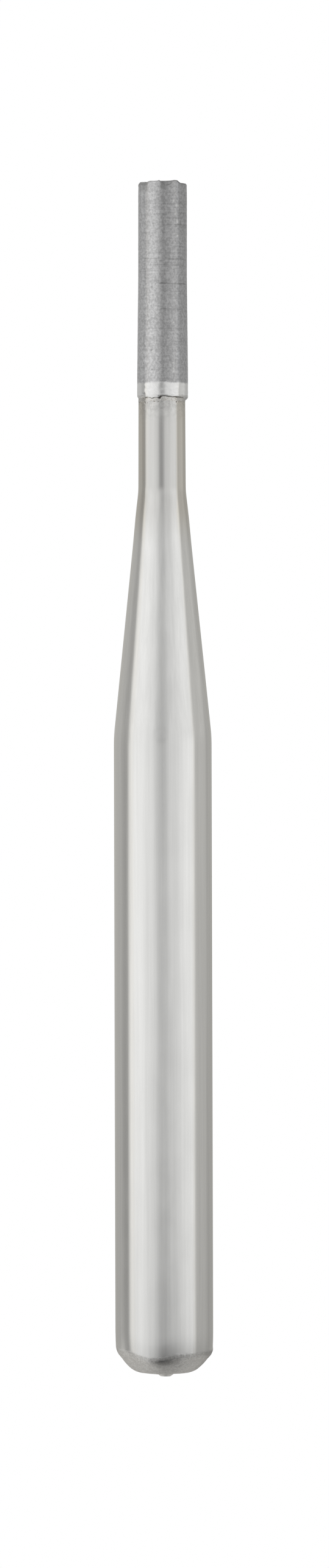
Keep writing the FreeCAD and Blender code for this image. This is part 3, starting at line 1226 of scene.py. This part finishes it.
def away_from_spot(azimuth, elevation):
    """Angle between a direction and the dark spot's."""
    turn = np.radians(azimuth - SPOT_AZIMUTH)
    tilt = np.radians(elevation)
    spot_tilt = math.radians(SPOT_ELEVATION)
    upright = np.sin(tilt) * math.sin(spot_tilt)
    level = np.cos(tilt) * math.cos(spot_tilt) * np.cos(turn)
    return np.degrees(np.arccos(np.clip(upright + level, -1, 1)))


def lens_share(azimuth, elevation):
    """1 in the dark column behind the camera, which is wider at its head than below."""
    upper = rise(elevation, *LENS_SPLIT)
    upper_lens = rise(azimuth, *LENS_LEFT_SIDE) - rise(azimuth, *LENS_RIGHT_SIDE)
    lens = (1 - upper) * bell(azimuth, *LENS_LOWER_PART) + upper * upper_lens
    return lens * (rise(elevation, *LENS_FOOT) - rise(elevation, *LENS_HEAD))


def middle_level(azimuth, elevation):
    """Brightness of the tent's middle, with what the neck and the joint mirror."""
    turned = sum(swell(elevation, *part) for part in LEFT_TURNS)
    turned = turned + TOP_TURN * rise(elevation, *TOP_TURN_BEGINS)
    level = read_off(TENT_LEVELS, azimuth - turned * (azimuth < 0))
    neck_effect = read_off(NECK_SHARES, azimuth) - 1
    level = level * (1 + bell(elevation, *NECK_ELEVATION) * neck_effect)
    glint = swell(elevation, *JOINT_GLINT) * bell(azimuth, *JOINT_GLINT_AZIMUTH)
    return level * (1 + glint) - LENS_DEPTH * lens_share(azimuth, elevation)


def tent_level(azimuth, elevation):
    """Brightness of the tent in a direction from its centre."""
    down = -elevation
    dimming = read_off(DIMMING_LEVELS, azimuth) * rise(down, *DIMMING_BEGINS)
    low_end = read_off(LOW_END_DIMMING, azimuth) * rise(down, *LOW_END_BEGINS)
    level = middle_level(azimuth, elevation) * (1 - dimming) * (1 - low_end)
    outside = read_off(OUTSIDE_SHARES, azimuth)
    under_top = 1 - rise(elevation, *FRONT_LIGHTS_HIGH)
    window = rise(elevation, *FRONT_LIGHTS_LOW) * under_top
    level = level * (outside + (1 - outside) * window)
    level = level + rise(elevation, *ABOVE_BEGINS) * (ABOVE_LEVEL - level)
    below = rise(down, *BELOW_BEGINS)
    level = level + below * (read_off(BELOW_LEVELS, azimuth) - level)
    spot = 1 - rise(away_from_spot(azimuth, elevation), *SPOT_EDGE)
    return level + spot * (SPOT_LEVEL - level)


def glow_material():
    """Glow whose colour the tent carries at its points."""
    material, tree = new_material("tent_glow")
    tree.nodes.clear()
    colour = tree.nodes.new("ShaderNodeAttribute")
    colour.attribute_name = "glow"
    glow = tree.nodes.new("ShaderNodeEmission")
    out = tree.nodes.new("ShaderNodeOutputMaterial")
    link_all(tree, [
        (colour.outputs["Color"], glow.inputs["Color"]),
        (glow.outputs[0], out.inputs["Surface"]),
    ])
    return material


def make_tent():
    """Round tent of graded brightness, hidden from the camera and with no shadow."""
    azimuth, elevation = np.meshgrid(np.arange(-180, 180), np.arange(-89, 90))
    points = off_centre(azimuth, elevation, TENT_RADIUS).reshape(-1, 3) * MM
    mesh = bpy.data.meshes.new("tent")
    mesh.from_pydata(points.tolist(), [], ring_faces(*azimuth.shape))
    level = tent_level(azimuth, elevation).reshape(-1, 1)
    sideways = rise(np.abs(azimuth), *SIDE_TINT_BEGINS).reshape(-1, 1)
    tint = 1 + sideways * (SIDE_TINT - 1)
    colours = np.concatenate([level * tint, np.ones_like(level)], axis=1)
    attribute = mesh.attributes.new("glow", "FLOAT_COLOR", "POINT")
    attribute.data.foreach_set("color", colours.astype(np.float32).reshape(-1))
    mesh.materials.append(glow_material())
    tent = new_object("tent", mesh)
    tent.visible_camera = False
    tent.visible_diffuse = False
    tent.visible_shadow = False


# Soft square lamps: name, azimuth, elevation, distance, size, power in watts.
LAMPS = [
    ("lamp_left", -60, 35, 120, 80, 0.02),
    ("lamp_right", 55, 30, 120, 60, 0.015),
]


def make_lamp(name, azimuth, elevation, distance, size, power):
    """Soft square lamp that points at the bur's middle."""
    data = bpy.data.lights.new(name, "AREA")
    data.size = size * MM
    data.energy = power
    lamp = new_object(name, data)
    place = Vector(off_centre(azimuth, elevation, distance))
    lamp.location = place * MM
    towards = Vector((0, 0, CAMERA_HEIGHT)) - place
    lamp.rotation_euler = towards.to_track_quat("-Z", "Y").to_euler()
    lamp.visible_glossy = False


def make_stage():
    """Everything that isn't the bur."""
    make_camera()
    make_world()
    make_floor()
    make_tent()
    for lamp in LAMPS:
        make_lamp(*lamp)
    bpy.context.scene.view_settings.view_transform = "Standard"


make_stage()
dress_shank(make_shank())
dress_braze(make_braze())
dress_head(make_head())
